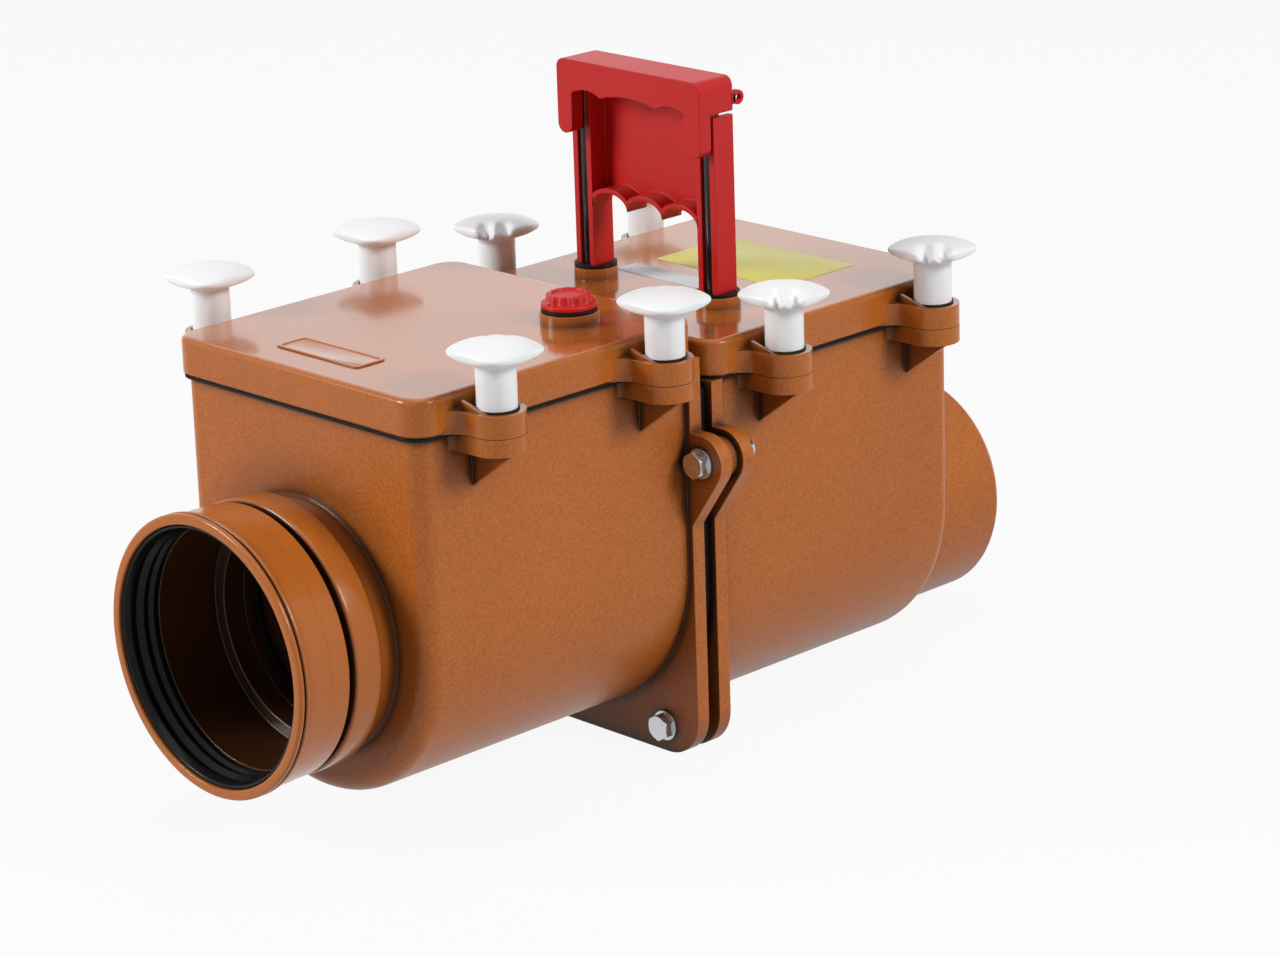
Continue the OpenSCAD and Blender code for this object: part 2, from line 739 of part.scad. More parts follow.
// Shoes on the feet of the legs: their sloped noses come down behind the flap and hold it shut
module lock_shoes() {
  back = leg_t / 2;
  nose = outlet_x0 + flange_t + flap_x + flap_t + 1 - leg_x;
  slope = 6;
  tip = [8, shoe_h - 2];
  outline = [[nose + slope, 0], [back, 0], [back, shoe_h], [-back, shoe_h], [nose, tip[1]], [nose, tip[0]]];
  color(white) at_legs(leg_end - shoe_h) rotate([90, 0, 0]) translate([0, 0, -leg_w / 2])
    linear_extrude(leg_w) polygon(outline);
}

// Seat frame on the wall at x round the waterway at height z, with the hinge lugs above it
module seat(x, z) {
  frame_r = flap_r + 3;
  color(orange) difference() {
    union() {
      along_flow(x, z) cylinder(h = seat_t, r = frame_r);
      for (s = [-1, 1]) across(x + hinge_x, s > 0 ? lug_y - lug_t : -lug_y, z + hinge_up)
        cylinder(h = lug_t, r = knuckle_r);
      for (s = [-1, 1]) translate([x, s > 0 ? lug_y - lug_t : -lug_y, z + frame_r - 10])
        cube([seat_t, lug_t, hinge_up - frame_r + 10 + knuckle_r]);
      for (s = [-1, 1]) translate([x, s > 0 ? lug_y - lug_t : -lug_y, z + hinge_up - knuckle_r])
        cube([hinge_x, lug_t, 2 * knuckle_r]);
    }
    along_flow(x - cut, z) cylinder(h = seat_t + 2 * cut, r = way_r);
    across(x + hinge_x, -lug_y - cut, z + hinge_up) cylinder(h = 2 * lug_y + 2 * cut, d = hinge_pin_d);
  }
}

// Flap hanging in front of the seat at x: ribbed disc on two arms
module flap(x, z) {
  rib_h = 6;
  rib_t = 3;
  arm_w = 8;
  color(orange) difference() {
    union() {
      along_flow(x + flap_x, z) cylinder(h = flap_t, r = flap_r);
      along_flow(x + flap_x + flap_t - cut, z) difference() {
        cylinder(h = rib_h + cut, r = flap_r - 14);
        translate([0, 0, -cut]) cylinder(h = rib_h + 3 * cut, r = flap_r - 14 - rib_t);
      }
      for (s = [-1, 1]) translate([x + flap_x, s > 0 ? arm_y - arm_w : -arm_y, z + 10])
        cube([flap_t + rib_h, arm_w, hinge_up - 10]);
      for (s = [-1, 1]) across(x + hinge_x, s > 0 ? arm_y - arm_w : -arm_y, z + hinge_up)
        cylinder(h = arm_w, r = knuckle_r);
    }
    across(x + hinge_x, -arm_y - cut, z + hinge_up)
      cylinder(h = 2 * arm_y + 2 * cut, r = hinge_pin_d / 2 + hinge_room);
  }
}

module flap_seal(x, z) {
  color(black) along_flow(x + flap_seal_x, z) difference() {
    cylinder(h = flap_seal_t, r = flap_r - 1.5);
    translate([0, 0, -cut]) cylinder(h = flap_seal_t + 2 * cut, r = way_r - 2);
  }
}

module hinge_pin(x, z) {
  color(zinc) across(x + hinge_x, -lug_y, z + hinge_up) cylinder(h = 2 * lug_y, d = hinge_pin_d);
}

inlet_wall_x = inlet_x0 + overhang + wall;
outlet_wall_x = outlet_x0 + flange_t;

inlet_chamber();
outlet_chamber();
outlet_spigot();
inlet_socket();
socket_seal();
chamber_gasket();
flange_bolts();
flange_washers();
flange_nuts();
inlet_lid();
inlet_lid_gasket();
outlet_lid();
outlet_lid_gasket();
for (i = [0 : 3]) {
  clamp_of(i, inlet_x0, lid_top, -45);
  clamp_of(i, outlet_x0, outlet_top, 135);
}
test_cap();
test_cap_seal();
lock_handle();
handle_wipers();
lock_shoes();
seat(inlet_wall_x, 0);  // inlet_seat
flap(inlet_wall_x, 0);  // inlet_flap
flap_seal(inlet_wall_x, 0);  // inlet_flap_seal
hinge_pin(inlet_wall_x, 0);  // inlet_hinge_pin
seat(outlet_wall_x, mid_z);  // outlet_seat
flap(outlet_wall_x, mid_z);  // outlet_flap
flap_seal(outlet_wall_x, mid_z);  // outlet_flap_seal
hinge_pin(outlet_wall_x, mid_z);  // outlet_hinge_pin
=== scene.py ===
# %% [markdown]
# # A backwater valve, dressed for its portrait
#
# The solids of the valve come packed as a fixed frame: every chamber, lid, clamp and flap at its
# real place, in metres, with +X along the flow and +Z up. This lesson gives each of them its
# finish, makes the socket, the clamps, the test cap and the handle again with softer and finer
# forms, and photographs the whole from the corner where the pipe socket looks at the viewer.

# %% The frame
import json

import bpy
import numpy as np
from mathutils import Matrix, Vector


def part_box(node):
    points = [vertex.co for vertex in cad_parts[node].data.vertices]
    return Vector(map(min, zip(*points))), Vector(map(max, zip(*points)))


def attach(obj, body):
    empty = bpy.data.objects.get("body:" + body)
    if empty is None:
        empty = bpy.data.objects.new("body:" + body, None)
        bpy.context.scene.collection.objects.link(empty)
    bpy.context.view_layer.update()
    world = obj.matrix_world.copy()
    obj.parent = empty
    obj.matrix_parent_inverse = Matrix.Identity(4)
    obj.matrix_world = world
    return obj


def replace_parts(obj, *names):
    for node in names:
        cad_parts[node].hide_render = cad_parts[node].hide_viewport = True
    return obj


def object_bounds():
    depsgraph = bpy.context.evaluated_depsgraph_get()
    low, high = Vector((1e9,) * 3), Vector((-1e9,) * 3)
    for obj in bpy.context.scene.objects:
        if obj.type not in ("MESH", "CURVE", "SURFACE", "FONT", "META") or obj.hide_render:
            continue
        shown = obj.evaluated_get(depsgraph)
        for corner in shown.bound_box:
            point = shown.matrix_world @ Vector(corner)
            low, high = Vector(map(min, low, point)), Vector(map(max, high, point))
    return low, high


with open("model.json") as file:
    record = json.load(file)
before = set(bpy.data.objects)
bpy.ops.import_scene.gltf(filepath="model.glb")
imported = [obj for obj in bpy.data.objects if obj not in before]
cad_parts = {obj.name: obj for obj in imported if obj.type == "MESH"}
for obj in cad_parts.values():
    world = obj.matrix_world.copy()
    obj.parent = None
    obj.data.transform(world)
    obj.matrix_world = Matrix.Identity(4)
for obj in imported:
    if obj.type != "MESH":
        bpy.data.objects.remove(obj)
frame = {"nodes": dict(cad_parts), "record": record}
cad_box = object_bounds()
MM = 0.001
print("solids span", [round((high - low) / MM, 1) for low, high in zip(*cad_box)], "mm")

# %% [markdown]
# ## The camera
#
# A product photographer stands well back with a long lens, so that the two lids stay nearly
# parallel. The camera is described the way one would set it up: how far round the object, how high,
# how far away, and the lens. The picture also leans by under two degrees, which is a roll about the
# line of sight.

# %% The camera
VIEW_AZIMUTH = np.radians(-43.95)
VIEW_ELEVATION = np.radians(18.02)
VIEW_ROLL = np.radians(-1.84)
VIEW_DISTANCE = 2.21419
VIEW_TARGET = np.array([0.28409, -0.01496, 0.02461])
LENS_MM = 118.07
SENSOR_MM = 36.0


def camera_axes(azimuth, elevation, roll):
    """Right, up and back of a camera; back follows from the angles, the others from cross products."""
    level = np.array([np.sin(azimuth), -np.cos(azimuth), 0.0])
    back = level * np.cos(elevation) + np.array([0.0, 0.0, np.sin(elevation)])
    right = np.cross([0, 0, 1.0], back)
    right /= np.linalg.norm(right)
    up = np.cross(back, right)
    turned_right = right * np.cos(roll) + up * np.sin(roll)
    turned_up = up * np.cos(roll) - right * np.sin(roll)
    return turned_right, turned_up, back


def add_camera():
    """Places the camera at the target plus back times the distance."""
    right, up, back = camera_axes(VIEW_AZIMUTH, VIEW_ELEVATION, VIEW_ROLL)
    place = np.eye(4)
    place[:3, 0], place[:3, 1], place[:3, 2] = right, up, back
    place[:3, 3] = VIEW_TARGET + back * VIEW_DISTANCE
    data = bpy.data.cameras.new("portrait")
    data.lens, data.sensor_width, data.sensor_fit = LENS_MM, SENSOR_MM, "HORIZONTAL"
    camera = bpy.data.objects.new("portrait", data)
    camera.matrix_world = Matrix(place.tolist())
    bpy.context.collection.objects.link(camera)
    bpy.context.scene.camera = camera
    return camera


portrait = add_camera()
print("camera stands at", [round(v, 3) for v in portrait.matrix_world.translation])

# %% [markdown]
# ## Shader sums as plain Python
#
# A finish is a sum of small effects: a grain here, a painted highlight along an edge there. One
# class wraps a socket and overloads the operators, so that such a sum reads as arithmetic and each
# sign adds its Math node.


# %% Sockets that can be added up
class Value:
    """A socket in a node tree; arithmetic on it adds Math nodes."""

    def __init__(self, tree, socket):
        self.tree, self.socket = tree, socket

    def node(self, kind, settings=None, outlet=0, **inputs):
        """Adds a node, sets its settings, fills its sockets by name and returns one of its outlets."""
        made = self.tree.nodes.new(kind)
        for name, setting in (settings or {}).items():
            setattr(made, name, setting)
        for name, value in inputs.items():
            target = find_socket(made, name)
            if isinstance(value, Value):
                self.tree.links.new(value.socket, target)
            else:
                target.default_value = value
        return Value(self.tree, made.outputs[outlet])

    def maths(self, operation, other=0.0, swap=False):
        """A Math node on this value and another, or with the two swapped."""
        first, second = (other, self) if swap else (self, other)
        return self.node("ShaderNodeMath", {"operation": operation}, **{"#0": first, "#1": second})

    def vectors(self, operation, other=None, outlet=0):
        """A Vector Math node on this vector and perhaps another; its outlet 1 is a plain number."""
        sockets = {"#0": self} if other is None else {"#0": self, "#1": other}
        return self.node("ShaderNodeVectorMath", {"operation": operation}, outlet, **sockets)

    def __add__(self, other):
        return self.maths("ADD", other)

    def __mul__(self, other):
        return self.maths("MULTIPLY", other)

    def __sub__(self, other):
        return self.maths("SUBTRACT", other)

    def __rsub__(self, other):
        return self.maths("SUBTRACT", other, swap=True)

    __radd__ = __add__
    __rmul__ = __mul__

    def clamp(self):
        """The value held between 0 and 1."""
        return self.node("ShaderNodeClamp", Value=self)


def find_socket(made, name):
    """An input by its number, written #0 or #1, or by its label with underscores for spaces."""
    if name.startswith("#"):
        return made.inputs[int(name[1:])]
    label = name.replace("_", " ")
    return next(s for s in made.inputs if s.name == label and s.enabled)


def new_material(name):
    """An empty material; returns it, its Principled shader and the Object coordinates."""
    material = bpy.data.materials.new(name)
    material.use_nodes = True
    tree = material.node_tree
    shader = tree.nodes["Principled BSDF"]
    coordinates = tree.nodes.new("ShaderNodeTexCoord")
    return material, shader, Value(tree, coordinates.outputs["Object"])


def connect(shader, **inputs):
    """Links values to the shader's sockets, or sets plain numbers and colours on them."""
    for name, value in inputs.items():
        socket = find_socket(shader, name)
        if isinstance(value, Value):
            value.tree.links.new(value.socket, socket)
        else:
            socket.default_value = value


def noise(where, scale, detail=2.0, roughness=0.5):
    """Cloudy noise between 0 and 1 with that many blobs to the metre."""
    return where.node("ShaderNodeTexNoise", Vector=where, Scale=scale, Detail=detail, Roughness=roughness)


def mix_colour(factor, first, second):
    """Colour that runs from first at factor 0 to second at factor 1."""
    return factor.node("ShaderNodeMix", {"data_type": "RGBA"}, 2, Factor=factor, A=first, B=second)


def soft_edges(where, radius):
    """Normal that is rounded over sharp edges within radius, as a moulded or stamped edge is."""
    return where.node("ShaderNodeBevel", {"samples": 6}, Radius=radius)


def edge_mask(where, radius, gain):
    """1 along sharp edges, 0 on flats: how far the rounded normal leans off the face's, times gain."""
    face = where.node("ShaderNodeNewGeometry", outlet=1)
    rounded = soft_edges(where, radius)
    return ((1.0 - face.vectors("DOT_PRODUCT", rounded, 1)) * gain).clamp()


def crease_mask(where, reach, gain):
    """1 deep in creases, 0 in the open: the hidden share of what lies within reach, times gain."""
    open_share = where.node("ShaderNodeAmbientOcclusion", {"samples": 8}, 1, Distance=reach)
    return ((1.0 - open_share) * gain).clamp()


def facing_up(where, start=0.8, gain=6.0):
    """1 on faces that look up, 0 on walls: the z part of the normal beyond start, times gain."""
    face = where.node("ShaderNodeNewGeometry", outlet=1)
    height = where.node("ShaderNodeSeparateXYZ", outlet=2, Vector=face)
    return ((height - start) * gain).clamp()


def bump(height, strength, depth, normal=None):
    """Normal pushed in and out by height, over depth metres."""
    made = {"Height": height, "Strength": strength, "Distance": depth}
    if normal is not None:
        made["Normal"] = normal
    return height.node("ShaderNodeBump", **made)


print("shader helpers ready")

# %% [markdown]
# ## Orange plastic
#
# Drain fittings are moulded from a brown-orange plastic. The mould is spark-eroded, which leaves a
# fine leathery grain on the large faces, and the lids' tops are glossy enough to mirror a white
# room. The colour wanders very slightly, as pigment does when it flows into the mould. Painted shade
# darkens the creases and, more faintly, the deeper pockets and the bore of the socket, and a paler
# painted highlight runs along sharp edges.

# %% Orange plastic
ORANGE = (0.50, 0.150, 0.024, 1.0)
ORANGE_DEEP = (0.36, 0.090, 0.010, 1.0)
ORANGE_EDGE_HIGHLIGHT = (0.56, 0.23, 0.08, 1.0)
BORE_SHADE_COLOUR = (0.016, 0.008, 0.005, 1.0)
PAINTED_SHADE_COLOUR = (0.030, 0.012, 0.006, 1.0)
BORE_RADIUS = 0.0631
BORE_END = 0.0815
FLOW_SCALE = 9.0
GRAIN_SCALE = 750.0
CREASE_REACH = 0.006
POCKET_REACH = 0.030
EDGE_HIGHLIGHT_REACH = 0.0012
SOFT_EDGE = 0.0007


def bore_shade_mask(where):
    """1 inside the bore of the pipe socket: near the X axis and before the near face of the flap."""
    radius = where.vectors("MULTIPLY", (0.0, 1.0, 1.0)).vectors("LENGTH", outlet=1)
    along = where.node("ShaderNodeSeparateXYZ", Vector=where)
    return radius.maths("LESS_THAN", BORE_RADIUS) * along.maths("LESS_THAN", BORE_END)


def orange_plastic(name, roughness, grain_depth, speckle, pocket_shade=0.0, coat=0.0, bore=False):
    """Two oranges mixed by noise, painted shade in creases, a painted highlight on sharp edges, a bumpy
    grain.
    """
    material, shader, where = new_material(name)
    flow = noise(where, FLOW_SCALE, 3.0)
    grain = noise(where, GRAIN_SCALE, 2.0, 0.6)
    blend = (flow * 0.5 + grain * speckle - (speckle / 2 - 0.25)).clamp()
    colour = mix_colour(blend, ORANGE_DEEP, ORANGE)
    if bore:
        # painted shade: the bore of the socket is darkened nearly to black, as deep shade
        colour = mix_colour(bore_shade_mask(where) * (flow * 0.2 + 0.8), colour, BORE_SHADE_COLOUR)
    # painted shade: creases, and the deeper pockets where asked for, are darkened by ambient occlusion
    painted_shade_share = crease_mask(where, CREASE_REACH, 1.5) * 0.85
    if pocket_shade > 0:
        painted_shade_share = (painted_shade_share + crease_mask(where, POCKET_REACH, 1.4) * pocket_shade).clamp()
    colour = mix_colour(painted_shade_share, colour, PAINTED_SHADE_COLOUR)
    # painted highlight: sharp edges are mixed towards a paler orange
    edge_highlight = edge_mask(where, EDGE_HIGHLIGHT_REACH, 2.2) * (flow * 0.6 + 0.1)
    connect(shader, Base_Color=mix_colour(edge_highlight, colour, ORANGE_EDGE_HIGHLIGHT))
    connect(shader, Roughness=grain * 0.10 + (roughness - 0.05), Specular_IOR_Level=0.3)
    connect(shader, Normal=bump(grain, 0.5, grain_depth, soft_edges(where, SOFT_EDGE)))
    if coat > 0:
        connect(shader, Coat_Weight=facing_up(where) * coat, Coat_Roughness=0.10)
    return material


body_orange = orange_plastic("orange_body", roughness=0.36, grain_depth=0.00025, speckle=2.4, pocket_shade=0.6)
lid_orange = orange_plastic("orange_lid", roughness=0.20, grain_depth=0.00010, speckle=1.6, coat=1.0)
socket_orange = orange_plastic(
    "orange_socket", roughness=0.18, grain_depth=0.00005, speckle=0.6, pocket_shade=0.4, bore=True
)
print("three orange finishes mixed")

# %% [markdown]
# ## White, red, black and zinc
#
# The clamps are white plastic with a satin skin, the handle and the test cap are red. Rubber is
# nearly black and dull. Zinc plating is a bright metal with a faint cloudy bloom.

# %% The other finishes
WHITE = (0.87, 0.88, 0.88, 1)
WHITE_SHADE = (0.82, 0.83, 0.84, 1)
RED = (0.54, 0.011, 0.010, 1)
RED_SHADE = (0.48, 0.008, 0.007, 1)
BLACK = (0.013, 0.013, 0.013, 1)
BLACK_SHADE = (0.005, 0.005, 0.005, 1)
ZINC = (0.66, 0.67, 0.69, 1)
ZINC_SHADE = (0.50, 0.51, 0.53, 1)
CLOUD_SCALE = 30.0
SATIN_SCALE = 1400.0
BLOOM_SCALE = 120.0
PLATING_SCALE = 260.0


def satin_plastic(name, colour, shade, roughness, grain_depth, gloss):
    """Moulded plastic of one colour, cloudy towards shade, with a fine grain."""
    material, shader, where = new_material(name)
    cloud = noise(where, CLOUD_SCALE, 3.0)
    grain = noise(where, SATIN_SCALE, 1.0)
    connect(shader, Base_Color=mix_colour(cloud, shade, colour), Roughness=grain * 0.12 + roughness)
    connect(shader, Normal=bump(grain, 0.25, grain_depth, soft_edges(where, 0.0008)))
    connect(shader, Specular_IOR_Level=gloss)
    return material


white_clamp = satin_plastic(
    "white_clamp", WHITE, WHITE_SHADE, roughness=0.34, grain_depth=0.00006, gloss=0.5
)
red_handle = satin_plastic("red_handle", RED, RED_SHADE, roughness=0.30, grain_depth=0.00005, gloss=0.28)


def black_finish(name, roughness, gloss=0.12):
    """Black with a mottled bloom: dull like dry rubber if rough, and wet-looking if smooth."""
    material, shader, where = new_material(name)
    bloom = noise(where, BLOOM_SCALE, 4.0)
    connect(shader, Base_Color=mix_colour(bloom, BLACK_SHADE, BLACK))
    connect(shader, Roughness=bloom * 0.2 + roughness, Specular_IOR_Level=gloss)
    connect(shader, Normal=bump(bloom, 0.2, 0.0001, soft_edges(where, 0.0005)))
    return material


def zinc_finish():
    """Bright metal, its roughness clouded by the plating."""
    material, shader, where = new_material("zinc_plate")
    cloud = noise(where, PLATING_SCALE, 4.0)
    connect(shader, Base_Color=mix_colour(cloud, ZINC_SHADE, ZINC))
    connect(shader, Roughness=cloud * 0.25 + 0.16, Metallic=1.0)
    connect(shader, Normal=bump(cloud, 0.1, 0.00004, soft_edges(where, 0.0004)))
    return material


black_rubber = black_finish("black_rubber", 0.35)
greased_rubber = black_finish("greased_rubber", 0.12)
slot_shade_rod = black_finish("slot_shade_rod", 0.08, gloss=0.4)
zinc_plate = zinc_finish()

FINISHES = {
    "black_rubber": black_rubber,
    "white_plastic": white_clamp,
    "red_plastic": red_handle,
    "zinc_steel": zinc_plate,
    "orange_plastic": body_orange,
}
OWN_FINISH = {"inlet_lid": lid_orange, "outlet_lid": lid_orange}
# the seat and flap take the socket finish, so that the painted shade of the bore reaches their near faces
OWN_FINISH |= {"inlet_seat": socket_orange, "inlet_flap": socket_orange}


def dress_nodes():
    """Gives each solid the finish of its slot, or its own."""
    slots = {row["node"]: row["material_slot"] for row in frame["record"]["subparts"]}
    for name, solid in frame["nodes"].items():
        finish = OWN_FINISH.get(name, FINISHES[slots[name]])
        solid.data.materials.clear()
        solid.data.materials.append(finish)


dress_nodes()
print(len(frame["nodes"]), "solids dressed")

# %% [markdown]
# ## Plates and labels on the lids
#
# A label is a thin sheet with round corners; a moulded panel is a low frame that rises out of the
# lid in a soft step. Both are one idea: a profile of steps, each so far in and so high, carried
# round a rectangle with round corners. Every step is one loop of points, neighbouring loops are
# joined by quads, and the first and last loop close the solid. The labels stay bare.

# %% Plates from loops
SMOOTH_UP_TO = np.radians(35)
BLOTCH_SCALE = 60.0
RIPPLE_SCALE = 25.0


def rounded_loop(half_x, half_y, corner, inset, steps=9):
    """Rectangle with round corners: each arc is its centre plus radius times (cos, sin)."""
    turn = np.arange(4)[:, None] * np.pi / 2 + np.linspace(0, np.pi / 2, steps)
    centre = np.array([[1, 1], [-1, 1], [-1, -1], [1, -1]]) * [half_x - corner, half_y - corner]
    arc = np.stack([np.cos(turn), np.sin(turn)], axis=-1) * (corner - inset)
    return (centre[:, None, :] + arc).reshape(-1, 2)


def put_mesh(name, points, faces, finish, body):
    """Mesh object of those points and faces, shaded smooth up to 35 degrees, that rides on a body."""
    mesh = bpy.data.meshes.new(name)
    mesh.from_pydata(points.reshape(-1, 3).tolist(), [], faces)
    mesh.materials.append(finish)
    mesh.shade_smooth()
    mesh.set_sharp_from_angle(angle=SMOOTH_UP_TO)
    piece = bpy.data.objects.new(name, mesh)
    bpy.context.collection.objects.link(piece)
    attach(piece, body)
    return piece


def ring_quads(ids):
    """Quads between neighbouring rows of point numbers, each row a loop that closes on itself."""
    ahead = np.roll(ids, -1, axis=1)
    return np.stack([ids[:-1], ahead[:-1], ahead[1:], ids[1:]], axis=-1).reshape(-1, 4).tolist()


def stacked_faces(loops, first=0):
    """Faces of a closed solid of stacked loops: quads between them, and the two end loops."""
    ids = first + np.arange(loops.shape[0] * loops.shape[1]).reshape(loops.shape[:2])
    return [ids[0, ::-1].tolist(), *ring_quads(ids), ids[-1].tolist()]


def band_faces(loops, first=0):
    """Faces of a closed band: quads between neighbouring loops, the last of which joins the first."""
    ids = first + np.arange(loops.shape[0] * loops.shape[1]).reshape(loops.shape[:2])
    return ring_quads(np.vstack([ids, ids[:1]]))


def plate_loops(half, corner, steps):
    """One rounded loop for each (inset, height) step."""
    loops = np.stack([rounded_loop(*half, corner, inset) for inset, height in steps])
    heights = np.array([height for inset, height in steps])[:, None, None]
    return np.concatenate([loops, np.broadcast_to(heights, (*loops.shape[:2], 1))], axis=-1)


def plate(name, body, place, half, corner, steps, finish):
    """Closed plate of stacked loops, laid at place."""
    loops = plate_loops(half, corner, steps)
    return put_mesh(name, loops + np.array(place), stacked_faces(loops), finish, body)


def label_finish(name, colour, shade):
    """Printed film: faint blotches, a soft sheen, and shallow ripples from being laid by hand."""
    material, shader, where = new_material(name)
    blotch = noise(where, BLOTCH_SCALE, 4.0)
    ripple = noise(where, RIPPLE_SCALE, 1.0)
    connect(shader, Base_Color=mix_colour(blotch, shade, colour), Roughness=blotch * 0.15 + 0.22)
    connect(shader, Normal=bump(ripple, 0.3, 0.0006))
    return material


FILM = [(0.0, -0.05 * MM), (0.0, 0.15 * MM), (0.08 * MM, 0.20 * MM)]
PANEL = [(0.0, -0.1 * MM), (0.0, 0.4 * MM), (0.25 * MM, 0.75 * MM), (0.6 * MM, 0.9 * MM)]
PANEL += [(1.9 * MM, 0.9 * MM), (2.2 * MM, 0.75 * MM), (2.5 * MM, 0.4 * MM), (2.8 * MM, 0.3 * MM)]
LID_PLATE = 5.0 * MM
lid_tops = {lid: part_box(lid + "_gasket")[1][2] + LID_PLATE for lid in ("inlet_lid", "outlet_lid")}
yellow_film = label_finish("yellow_film", (0.62, 0.56, 0.10, 1), (0.56, 0.50, 0.075, 1))
pale_film = label_finish("pale_film", (0.58, 0.60, 0.62, 1), (0.50, 0.54, 0.58, 1))
ON_LIDS = [
    ("yellow_label", "outlet_lid", (0.3893, -0.0005), (0.0292, 0.0465), 1.5 * MM, FILM, yellow_film),
    ("pale_label", "outlet_lid", (0.3390, 0.0), (0.0078, 0.0475), 1.0 * MM, FILM, pale_film),
    ("lid_panel", "inlet_lid", (0.0935, 0.004), (0.0100, 0.0310), 3.2 * MM, PANEL, lid_orange),
]
for name, lid, middle, half, corner, steps, finish in ON_LIDS:
    plate(name, lid, (*middle, lid_tops[lid]), half, corner, steps, finish)
print("two bare labels and one panel laid on the lids")

# %% [markdown]
# ## The pipe socket
#
# A socket is turned round the axis of the pipe, so one profile says it all: two beads at the mouth,
# the sleeve, a deep groove, the neck ring and the bore. No moulded edge is sharp, so each corner of
# the profile has its own rounding, and an arc that touches both sides of a corner is quick to work
# out. The greased rubber ring just inside the mouth is a second profile. The two stand for the
# socket and the seal of the frame, whose mouth is plainer.


# %% Turned profiles
def rounded_profile(corners, steps=7):
    """Closed outline of (x, radius, rounding) corners, each an arc that touches both its sides.

    The arc's centre lies on the line that halves the corner, rounding / sin(half angle) away. The arc
    itself mixes the directions of the two touching points, weighted by the sines of the angles still
    to go and already gone.
    """
    corners = np.array(corners, dtype=float)
    point, rounding = corners[:, :2], corners[:, 2:]
    before = np.roll(point, 1, axis=0) - point
    after = np.roll(point, -1, axis=0) - point
    before /= np.linalg.norm(before, axis=1, keepdims=True)
    after /= np.linalg.norm(after, axis=1, keepdims=True)
    half = np.arccos(np.clip((before * after).sum(axis=1, keepdims=True), -1, 1)) / 2
    halving = before + after
    centre = point + halving / np.linalg.norm(halving, axis=1, keepdims=True) * rounding / np.sin(half)
    reach = rounding / np.tan(half)
    start, end = (point + before * reach - centre)[:, None], (point + after * reach - centre)[:, None]
    sweep = (np.pi - 2 * half)[:, None]
    share = np.linspace(0, 1, steps)[None, :, None]
    arc = (np.sin((1 - share) * sweep) * start + np.sin(share * sweep) * end) / np.sin(sweep)
    return (centre[:, None] + arc).reshape(-1, 2)


def full_turn(segments):
    """Angles of so many equal steps round a circle."""
    return np.linspace(0, 2 * np.pi, segments, endpoint=False)


def turned(name, body, corners, finish, segments=160):
    """Profile turned round the X axis: (x, r) sweeps through (x, r cos a, r sin a)."""
    profile = rounded_profile(corners) * MM
    angle = full_turn(segments)
    along, r = profile[:, :1], profile[:, 1:]
    points = np.stack(np.broadcast_arrays(along, r * np.cos(angle), r * np.sin(angle)), axis=-1)
    return put_mesh(name, points, band_faces(points), finish, body)


MOUTH = [(0.0, 67.3, 0.7), (0.0, 72.5, 1.5), (3.2, 72.5, 1.3), (3.2, 71.0, 0.2)]
MOUTH += [(3.9, 71.0, 0.2), (3.9, 72.5, 1.2)]
SLEEVE = [(7.0, 72.5, 1.4), (7.0, 70.9, 0.4), (21.0, 70.9, 0.1), (21.0, 70.5, 0.1), (33.4, 70.5, 1.7)]
NECK = [(33.4, 64.4, 0.6), (36.8, 64.4, 0.6), (36.8, 70.9, 1.9), (53.0, 70.9, 1.3), (53.0, 65.6, 0.5)]
NOSE = [(66.9, 65.6, 0.1), (66.9, 66.8, 0.1), (71.0, 66.8, 0.1), (71.0, 56.0, 0.3)]
BORE = [(58.0, 56.0, 0.8), (58.0, 62.9, 0.4), (22.0, 62.9, 0.3), (22.0, 66.6, 0.2), (3.0, 66.6, 0.3)]
SEAL = [(1.4, 66.5, 0.2), (21.9, 66.5, 0.2), (21.9, 63.4, 0.5), (18.5, 62.7, 0.8), (16.2, 64.8, 0.8)]
SEAL += [(12.5, 62.7, 0.9), (9.2, 65.4, 0.9), (5.4, 63.6, 1.3), (1.6, 65.2, 0.9)]
socket = turned("turned_socket", "root", MOUTH + SLEEVE + NECK + NOSE + BORE, socket_orange)
ring = turned("turned_seal", "root", SEAL, greased_rubber)
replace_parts(socket, "inlet_socket")
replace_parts(ring, "socket_seal")
print("socket turned from", len(MOUTH + SLEEVE + NECK + NOSE + BORE), "corners")

# %% [markdown]
# ## The turn clamps
#
# A clamp is a white mushroom: a round stem that flows into a square, cushion-like head with thin
# corners. Two hollows at one corner let a thumb and a finger pinch the web between them. The whole
# surface is one stack of loops from the foot to the crown. Each loop is a circle on the stem and a
# rounded square on the head, and the hollows are a smooth bump function that sinks the top and
# draws the edge in. They are deep on the outlet lid and faint on the inlet lid. A thin black ring
# at the foot of each stem, where it goes into the ear, is painted shade for the gap round the stem.

# %% Clamps from loops
STEM = 10.0
HEAD_HALF = 19.5
HEAD_CORNER = 23.4
SQUARENESS = 4.2
HEAD_LOW = 22.8
HEAD_FLARE = 5.2
CROWN_TOP = 33.6
CROWN_DROP = 3.9
EDGE = 1.4
FILLET = 0.6
CROWN_POWER = 2.4
HOLLOW_DIP = 4.6
HOLLOW_CUT = 7.0
HOLLOW_ASIDE = 5.0
HOLLOW_WIDTH = 2.8
HOLLOW_START = 4.0
HOLLOW_RUN = 11.0
STEM_STEPS = [(5.2, -18.0), (6.0, -17.4), (6.0, -11.5), (9.4, -11.5), (10.0, -10.9), (10.0, 21.2)]
LUG_STEPS = [(0.0, -17.9), (0.0, -15.6), (0.4, -15.2)]
LUG_HALF = (9.5, 3.0)
LUG_CORNER = 1.0
UNDER_ROWS, UNDER_POWER = 16, 1.4
EDGE_ROWS, EDGE_LEAN = 9, 70
